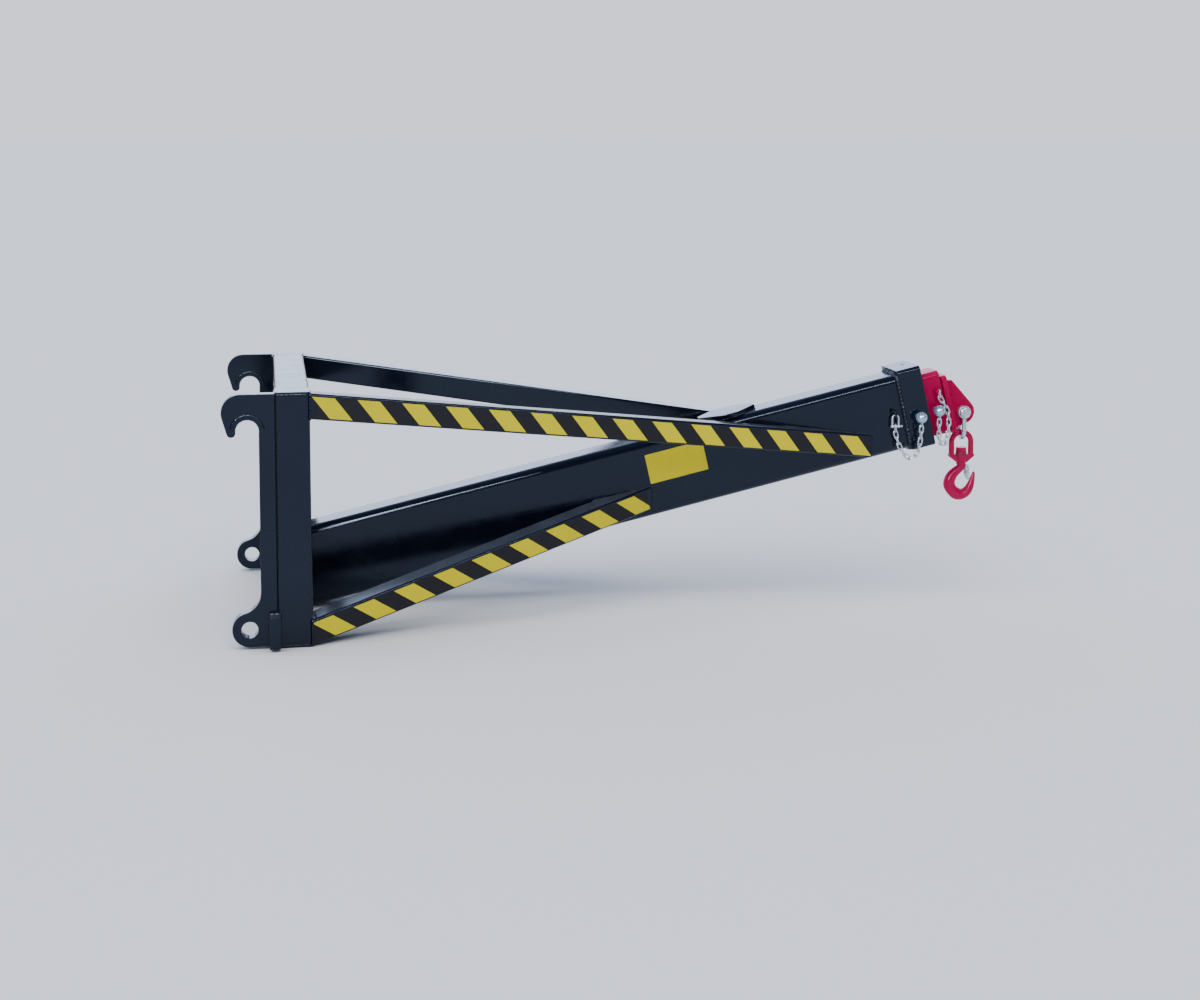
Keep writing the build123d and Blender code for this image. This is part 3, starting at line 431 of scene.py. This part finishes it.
yellow_deep, yellow_pale, yellow_sheen = (0.78, 0.645, 0.0), (0.84, 0.70, 0.0), 0.3
tape_yellow = vinyl("tape_yellow", yellow_deep, yellow_pale, yellow_sheen)
tape_black = vinyl("tape_black", (0.012, 0.012, 0.016), (0.018, 0.018, 0.023), 0.32)
stripe_tree, given, result, add = rule_tree(
    "hazard_bars",
    [
        ("Geometry", "NodeSocketGeometry"),
        ("Bars", "NodeSocketInt"),
        ("Pitch", "NodeSocketFloat"),
        ("Bar width", "NodeSocketFloat"),
        ("Tape width", "NodeSocketFloat"),
        ("Slant", "NodeSocketFloat"),
        ("Tape end", "NodeSocketFloat"),
        ("Thickness", "NodeSocketFloat"),
        ("Material", "NodeSocketMaterial"),
    ],
)
step = add("ShaderNodeCombineXYZ", {"X": given["Pitch"]})
row = add("GeometryNodeMeshLine", {"Count": given["Bars"], "Offset": step.outputs[0]})
bar_size = add(
    "ShaderNodeCombineXYZ", {"X": given["Bar width"], "Y": given["Tape width"], "Z": given["Thickness"]}
)
bar = add("GeometryNodeMeshCube", {"Size": bar_size.outputs[0]}, {"Vertices Y": 17})
where = add("GeometryNodeInputPosition")
parts = add("ShaderNodeSeparateXYZ", {0: where.outputs[0]})
shear = add("ShaderNodeMath", {0: parts.outputs["Y"], 1: given["Slant"]}, operation="MULTIPLY")
push = add("ShaderNodeCombineXYZ", {"X": shear.outputs[0]})
slanted = add("GeometryNodeSetPosition", {"Geometry": bar.outputs["Mesh"], "Offset": push.outputs[0]})
links = {"Points": row.outputs["Mesh"], "Instance": slanted.outputs["Geometry"]}
bars = add("GeometryNodeInstanceOnPoints", links)
whole = add("GeometryNodeRealizeInstances", {"Geometry": bars.outputs["Instances"]})
cut_x = add("ShaderNodeMath", {0: parts.outputs["X"], 1: given["Tape end"]}, operation="MINIMUM")
cut = add("ShaderNodeCombineXYZ", {"X": cut_x.outputs[0], "Y": parts.outputs["Y"], "Z": parts.outputs["Z"]})
trimmed = add("GeometryNodeSetPosition", {"Geometry": whole.outputs["Geometry"], "Position": cut.outputs[0]})
links = {"Geometry": trimmed.outputs["Geometry"], "Material": given["Material"]}
printed = add("GeometryNodeSetMaterial", links)
stripe_tree.links.new(printed.outputs["Geometry"], result["Geometry"])


def tape(strut, start, end, first, count, pitch, run_out):
    """Tape on one strut's outer face: black ground, then the yellow bars, mirrored for the left side."""
    width, middle, slant = 0.048, 0.0285, -1.0
    ground_t, bar_t = 0.0006, 0.001
    end_gap, bar_gap = 0.004, 0.005
    along = (end - start).normalized()
    inward = Vector((-along.y, along.x, 0)).normalized()
    up = along.cross(inward)
    for side, flip in (("right", 1), ("left", -1)):
        mirrored = Matrix.Diagonal((1, flip, 1, 1))
        face = Matrix((along, up, -inward)).transposed().to_4x4()
        face.translation = start + up * middle
        for kind, material, begin, bars, bar, lean, thick in (
            ("ground", tape_black, run_out / 2 + end_gap, 1, run_out - 2 * end_gap, 0.0, ground_t),
            ("bars", tape_yellow, first, count, pitch / 2, slant, bar_t),
        ):
            blank = bpy.data.objects.new(f"{strut}_{side}_tape_{kind}", bpy.data.meshes.new("tape"))
            bpy.context.scene.collection.objects.link(blank)
            sizes = {"Bars": bars, "Pitch": pitch, "Bar width": bar, "Tape width": width, "Slant": lean}
            ends = {"Tape end": run_out - bar_gap - begin, "Thickness": thick, "Material": material}
            piece = made_by_rule(blank, stripe_tree, {**sizes, **ends})
            place = mirrored @ face @ Matrix.Translation((begin, 0, 0))
            piece.data.transform(place)
            if flip < 0:
                piece.data.flip_normals()
            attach(piece, "jib")


upper_foot = Vector((column_front, -column_outer, 0.024))
upper_end = on_boom(1.476, -0.092, -boom_half_w)
tape("upper_strut", upper_foot, upper_end, first=0.0492, count=14, pitch=0.10865, run_out=1.5200)
lower_foot = Vector((column_front, -column_outer, -0.504))
lower_end = on_boom(0.877, -0.077, -boom_half_w)
tape("lower_strut", lower_foot, lower_end, first=0.0619, count=9, pitch=0.1074, run_out=0.9683)


# Sign plate: a bare yellow vinyl sheet, 155 by 76 mm, die cut with its corners rounded
# and stuck to the boom's near side.
def sheet_plate(name, width, height, corner, thickness, place, material):
    """A thin rounded sheet, closed on all sides, put in place by a matrix."""
    outline = []
    points = 32
    for step in range(points):
        angle = math.tau * (step + 0.5) / points
        x = math.copysign(width / 2 - corner, math.cos(angle)) + corner * math.cos(angle)
        y = math.copysign(height / 2 - corner, math.sin(angle)) + corner * math.sin(angle)
        outline.append((x, y))
    shape = bmesh.new()
    base = shape.faces.new([shape.verts.new((x, y, 0)) for x, y in outline])
    grown = bmesh.ops.extrude_face_region(shape, geom=[base])
    lid = [v for v in grown["geom"] if isinstance(v, bmesh.types.BMVert)]
    bmesh.ops.translate(shape, verts=lid, vec=(0, 0, thickness))
    bmesh.ops.recalc_face_normals(shape, faces=shape.faces)
    mesh = bpy.data.meshes.new(name)
    shape.to_mesh(mesh)
    shape.free()
    mesh.transform(place)
    mesh.materials.append(material)
    made = bpy.data.objects.new(name, mesh)
    bpy.context.scene.collection.objects.link(made)
    return made


sign_w, sign_h, sign_corner, sign_t = 0.155, 0.0765, 0.002, 0.0008
sign_yellow = vinyl("sign_yellow", yellow_deep, yellow_pale, yellow_sheen)
sign_face = Matrix((boom_along, boom_up, Vector((0, -1, 0)))).transposed().to_4x4()
sign_face.translation = on_boom(0.9673, 0.0272, -boom_half_w)
sign_plate = sheet_plate("sign_plate", sign_w, sign_h, sign_corner, sign_t, sign_face, sign_yellow)
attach(sign_plate, "jib")


# Slide pads: cast polyamide blocks that guide the inner tubes, and the set screw that presses
# the front one down from the collar. The screw is black oxide steel with a hex socket.
polyamide, tree, shader, coords = finish("polyamide")
pad_tone = two_tone(tree, mottle(tree, coords, 60), (0.62, 0.59, 0.50), (0.74, 0.71, 0.62))
tree.links.new(pad_tone, shader.inputs["Base Color"])
tree.links.new(spread(tree, mottle(tree, coords, 140), 0.45, 0.6), shader.inputs["Roughness"])
pad_edge = 0.0006
for pad in ("boom_slide_pad", "extension_1_tail_pad", "extension_2_tail_pad"):
    dress(pad, polyamide, pad_edge)


def plated(name, deep, pale, low, high, metal):
    """Plated or blackened steel: cloudy tone, uneven gloss and a fine grain."""
    material, tree, shader, coords = finish(name)
    clouds = spread(tree, mottle(tree, coords, 120), 0, 1)
    tree.links.new(two_tone(tree, clouds, deep, pale), shader.inputs["Base Color"])
    tree.links.new(spread(tree, mottle(tree, coords, 240), low, high), shader.inputs["Roughness"])
    tree.links.new(relief(tree, mottle(tree, coords, 900, 2.0), 0.10, 0.0004), shader.inputs["Normal"])
    shader.inputs["Metallic"].default_value = metal
    return material


black_oxide = plated("black_oxide", (0.05, 0.05, 0.055), (0.11, 0.11, 0.12), 0.35, 0.5, 1.0)
turned_edge = 0.0003
dress("pad_screw", black_oxide, turned_edge)


# Telescopic stages: two box tubes that slide out of the boom, an end flange and the lifting lug,
# welded up and sprayed with crimson gloss enamel.
# The red's upward faces get a little of the dust and painted sky reflection too.
red_enamel = enamel(
    "red_enamel", deep=(0.42, 0.0, 0.056), pale=(0.48, 0.0, 0.070),
    gloss=0.06, tint=(1.0, 1.0, 1.0), dust_and_sky_sheen=0.08,
)
stage_edge, flange_edge, lug_edge = 0.0006, 0.0015, 0.0012
dress("extension_1_tube", red_enamel, stage_edge)
dress("extension_2_tube", red_enamel, stage_edge)
dress("end_flange", red_enamel, flange_edge)
dress("lifting_lug", red_enamel, lug_edge)
flange_front = on_boom(1.723, 0, 0)
lug_seam = lines("lug_welds", [seam("lifting_lug", flange_front, boom_along)], True)
lug_welds = made_by_rule(lug_seam, bead_tree, {"Radius": 0.003, "Ripple": 0.004, "Material": red_enamel})
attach(lug_welds, "extension_2")


# Lock pins: 16 mm steel pins, zinc plated and blue passivated, with a turned ball grip on the outer end.
# A flat tab welded under each ball takes the chain.
blue_zinc = plated("blue_zinc", (0.28, 0.42, 0.58), (0.44, 0.58, 0.72), 0.20, 0.34, 0.65)
zinc = plated("zinc_plate", (0.42, 0.48, 0.56), (0.60, 0.65, 0.72), 0.20, 0.34, 0.65)
tab_edge = 0.0004
for pin in ("lock_pin_1", "lock_pin_2"):
    dress(f"{pin}_shank", blue_zinc, turned_edge)
    dress(f"{pin}_ball", blue_zinc, tab_edge)


# Chain eyes and chains: bent bars welded to the tubes, and short-link chain of 4 mm zinc-plated wire
# that ties each pin to its eye. The first chain hangs in a small shackle. Links sit a quarter turn apart.
dress("chain_eye_1", black_enamel, turned_edge)
dress("chain_eye_2", red_enamel, turned_edge)
dress("chain_1_shackle", zinc, turned_edge)
link_tree, given, result, add = rule_tree(
    "short_link_chain",
    [
        ("Geometry", "NodeSocketGeometry"),
        ("Links", "NodeSocketInt"),
        ("Wire", "NodeSocketFloat"),
        ("Inside length", "NodeSocketFloat"),
        ("Inside width", "NodeSocketFloat"),
        ("Material", "NodeSocketMaterial"),
    ],
)
joints = add("ShaderNodeMath", {0: given["Links"]}, {1: 1.0}, operation="ADD")
links = {"Curve": given["Geometry"], "Count": joints.outputs[0]}
route = add("GeometryNodeResampleCurve", links, mode="COUNT")
spine = add("GeometryNodeCurveToMesh", {"Curve": route.outputs["Curve"]})
ends = add("GeometryNodeInputMeshEdgeVertices")
links = {0: ends.outputs["Position 2"], 1: ends.outputs["Position 1"]}
run = add("ShaderNodeVectorMath", links, operation="SUBTRACT")
kept = add("GeometryNodeCaptureAttribute", {"Geometry": spine.outputs["Mesh"]}, domain="EDGE")
kept.capture_items.new("VECTOR", "run")
link_tree.links.new(run.outputs[0], kept.inputs["run"])
spots = add("GeometryNodeMeshToPoints", {"Mesh": kept.outputs["Geometry"]}, mode="EDGES")
side_on = add(
    "ShaderNodeVectorMath", {1: kept.outputs["run"]}, {0: (0.0, 1.0, 0.0)}, operation="CROSS_PRODUCT"
)
face_on = add(
    "ShaderNodeVectorMath", {0: kept.outputs["run"], 1: side_on.outputs[0]}, operation="CROSS_PRODUCT"
)
number = add("GeometryNodeInputIndex")
odd = add("ShaderNodeMath", {0: number.outputs[0]}, {1: 2.0}, operation="MODULO")
normal = add("ShaderNodeMix", {"Factor": odd.outputs[0]}, data_type="VECTOR")
link_tree.links.new(side_on.outputs[0], normal.inputs[4])
link_tree.links.new(face_on.outputs[0], normal.inputs[5])
pose = add(
    "FunctionNodeAxesToRotation",
    {"Primary Axis": kept.outputs["run"], "Secondary Axis": normal.outputs[1]},
    primary_axis="X", secondary_axis="Z",
)
long = add("ShaderNodeMath", {0: given["Inside length"], 1: given["Wire"]}, operation="ADD")
wide = add("ShaderNodeMath", {0: given["Inside width"], 1: given["Wire"]}, operation="ADD")
bend = add("ShaderNodeMath", {0: wide.outputs[0]}, {1: 0.4999}, operation="MULTIPLY")
blank = add("GeometryNodeCurvePrimitiveQuadrilateral", {"Width": long.outputs[0], "Height": wide.outputs[0]})
links = {"Curve": blank.outputs["Curve"], "Radius": bend.outputs[0]}
loop = add("GeometryNodeFilletCurve", links, {"Count": 8}, mode="POLY")
half_wire = add("ShaderNodeMath", {0: given["Wire"]}, {1: 0.5}, operation="MULTIPLY")
ring = add("GeometryNodeCurvePrimitiveCircle", {"Radius": half_wire.outputs[0]}, {"Resolution": 12})
wire_link = add(
    "GeometryNodeCurveToMesh", {"Curve": loop.outputs["Curve"], "Profile Curve": ring.outputs["Curve"]}
)
smooth = add("GeometryNodeSetShadeSmooth", {"Geometry": wire_link.outputs["Mesh"]})
placed = add(
    "GeometryNodeInstanceOnPoints",
    {"Points": spots.outputs["Points"], "Instance": smooth.outputs["Geometry"], "Rotation": pose.outputs[0]},
)
whole = add("GeometryNodeRealizeInstances", {"Geometry": placed.outputs["Instances"]})
links = {"Geometry": whole.outputs["Geometry"], "Material": given["Material"]}
plate = add("GeometryNodeSetMaterial", links)
link_tree.links.new(plate.outputs["Geometry"], result["Geometry"])


def pin_chain(name, node, start, falls, tab, count):
    """One pin chain on a hanging route, in place of its CAD node: falls are ahead, outward, down in mm."""
    points = [start] + [start + Vector((a, -o, -d)) / 1000 for a, o, d in falls] + [tab]
    curve = bpy.data.curves.new(name, "CURVE")
    curve.dimensions = "3D"
    spline = curve.splines.new("BEZIER")
    spline.bezier_points.add(len(points) - 1)
    for spot, co in zip(spline.bezier_points, points):
        spot.co = co
        spot.handle_left_type = spot.handle_right_type = "AUTO"
    spline.resolution_u = 24
    path = bpy.data.objects.new(name, curve)
    bpy.context.scene.collection.objects.link(path)
    sizes = {"Links": count, "Wire": 0.004, "Inside length": 0.0171, "Inside width": 0.0058, "Material": zinc}
    made = made_by_rule(path, link_tree, sizes)
    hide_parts(node)
    return made


shackle_pin = Vector((1.66199, -0.0665, -0.0831))
falls_1 = [
    (0.8, 0.6, 22), (9, 7, 53), (23, 14, 78), (36, 18, 86.5), (48, 21, 78), (58.5, 23, 50), (62.2, 23.5, 21),
]
tab_1 = Vector((1.72437, -0.0925, -0.0831))
links_1 = pin_chain("pin_chain_1", "chain_1", shackle_pin, falls_1, tab_1, 12)
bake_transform(links_1)

eye_bar = Vector((1.78299, -0.0605, 0.0040))
falls_2 = [
    (3, 0.5, 20), (14, 3, 36), (22, 5, 54), (25, 7, 80), (23, 9, 110), (18, 10, 133), (9, 10, 142),
    (0, 9.5, 133), (-2, 8.8, 108),
]
tab_2 = Vector((1.78093, -0.0705, -0.0703))
links_2 = pin_chain("pin_chain_2", "chain_2", eye_bar, falls_2, tab_2, 14)
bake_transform(links_2)


# Shackle: a bow of forged and zinc-plated steel that hangs on the lug.
# Its bolt has a domed head and is held by a nut and a split pin.
forged_edge = 0.0004
for piece in ("shackle_bow", "shackle_bolt", "shackle_nut", "shackle_cotter"):
    dress(piece, zinc, forged_edge)


# Swivel hook: a forged ring with a bored boss and a forged hook, sprayed crimson and glossier than the tubes.
# The shank's round nut and its thrust washer sit inside the ring.
hook_enamel = red_enamel.copy()
hook_enamel.name = "hook_enamel"
hook_enamel.node_tree.nodes["Principled BSDF"].inputs["Specular IOR Level"].default_value = 0.15
bail_edge, hook_edge, nut_edge = 0.002, 0.001, 0.0004
dress("hook_bail", hook_enamel, bail_edge)
dress("hook_body", hook_enamel, hook_edge)
dress("swivel_nut", hook_enamel, nut_edge)
dress("thrust_washer", black_oxide, turned_edge)


# Hook latch: a pressed zinc-plated tongue on a riveted pin, pushed outwards by a wound spring
# whose one leg lies behind the tongue and whose other leg lies beside the hook's neck.
dress("hook_latch", zinc, turned_edge)
dress("latch_pin", zinc, turned_edge)
wound = bmesh.new()
wound.from_mesh(nodes["latch_spring"].data)
bmesh.ops.remove_doubles(wound, verts=wound.verts, dist=same_point)
for face in wound.faces:
    face.smooth = True
coil = bpy.data.objects.new("latch_coil", bpy.data.meshes.new("latch_coil"))
wound.to_mesh(coil.data)
wound.free()
bpy.context.scene.collection.objects.link(coil)
coil.data.materials.clear()
coil.data.materials.append(zinc)
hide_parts("latch_spring")
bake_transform(coil)


# Studio: a plain pale floor under the foot caps and a room that is bright behind the object and dim in front.
# Soft daylight falls from above; a long strip light and a card show only as reflections.
floor_mesh = bpy.data.meshes.new("floor")
floor_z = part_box("column_foot_cap_right")[0].z
floor_half = 400
around = ((-1, -1), (1, -1), (1, 1), (-1, 1))
corners = [(x * floor_half, y * floor_half, floor_z) for x, y in around]
floor_mesh.from_pydata(corners, [], [(0, 1, 2, 3)])
floor = bpy.data.objects.new("floor", floor_mesh)
bpy.context.scene.collection.objects.link(floor)
floor_paint, _, shader, _ = finish("floor_paint")
shader.inputs["Base Color"].default_value = (0.84, 0.84, 0.84, 1)
shader.inputs["Roughness"].default_value = 0.9
shader.inputs["Specular IOR Level"].default_value = 0.1
floor_mesh.materials.append(floor_paint)

world = bpy.data.worlds.new("room")
world.use_nodes = True
room = world.node_tree
heading = room.nodes.new("ShaderNodeSeparateXYZ")
room.links.new(room.nodes.new("ShaderNodeTexCoord").outputs["Generated"], heading.inputs[0])
behind = spread(room, heading.outputs["Y"], 0.0, 1.0, 0.0, 0.7)
sky = room.nodes.new("ShaderNodeValToRGB")
sky.color_ramp.elements[0].position = 0.075
sky.color_ramp.elements[0].color = (1.12, 1.19, 1.36, 1)
sky.color_ramp.elements[1].position = 0.62
sky.color_ramp.elements[1].color = (0.30, 0.42, 0.75, 1)
for height, glow in ((0.11, (2.3, 2.7, 3.5)), (0.34, (2.2, 2.6, 3.5))):
    sky.color_ramp.elements.new(height).color = (*glow, 1)
room.links.new(heading.outputs["Z"], sky.inputs["Fac"])
surround = room.nodes.new("ShaderNodeMix")
surround.data_type = "RGBA"
surround.inputs["A"].default_value = (0.12, 0.16, 0.26, 1)
room.links.new(behind, surround.inputs["Factor"])
room.links.new(sky.outputs["Color"], surround.inputs["B"])
room.links.new(surround.outputs["Result"], room.nodes["Background"].inputs["Color"])
bpy.context.scene.world = world


def lamp(name, place, aim, width, height, power):
    """A soft box aimed at a point, seen only in reflections."""
    light = bpy.data.lights.new(name, "AREA")
    light.shape = "RECTANGLE"
    light.size = width
    light.size_y = height
    light.energy = power
    made = bpy.data.objects.new(name, light)
    made.location = place
    made.rotation_mode = "QUATERNION"
    made.rotation_quaternion = (Vector(aim) - Vector(place)).to_track_quat("-Z", "Y")
    made.visible_diffuse = False
    bpy.context.scene.collection.objects.link(made)


lamp("strip", place=(1.3, -4.6, 2.7), aim=(0.9, 0, -0.2), width=7.0, height=0.34, power=330)
lamp("card", place=(-0.6, -3.2, 1.5), aim=(1.86, 0, -0.28), width=1.8, height=1.8, power=220)
daylight = bpy.data.lights.new("daylight", "SUN")
daylight.energy = 3.2
daylight.angle = math.radians(90)
sun = bpy.data.objects.new("daylight", daylight)
sun.visible_glossy = False
sun.rotation_mode = "QUATERNION"
sun.rotation_quaternion = Vector((0.25, 0.35, -1.0)).to_track_quat("-Z", "Y")
bpy.context.scene.collection.objects.link(sun)


# Camera: it stands before the frame's near side, a little above it, at the photograph's height and angle.
# Its lens and shift give the photograph's framing for a picture of 1200 by 1000.
yaw, pitch = math.radians(10.071), math.radians(4.517)
ahead = Vector((math.sin(yaw) * math.cos(pitch), math.cos(yaw) * math.cos(pitch), -math.sin(pitch)))
eye = bpy.data.cameras.new("camera")
eye.sensor_width = 36.0
eye.lens = 56.62
eye.shift_y = -0.18
camera = bpy.data.objects.new("camera", eye)
camera.location = (0.0468, -4.7452, 0.6733)
camera.rotation_mode = "QUATERNION"
camera.rotation_quaternion = ahead.to_track_quat("-Z", "Y")
bpy.context.scene.collection.objects.link(camera)
bpy.context.scene.camera = camera
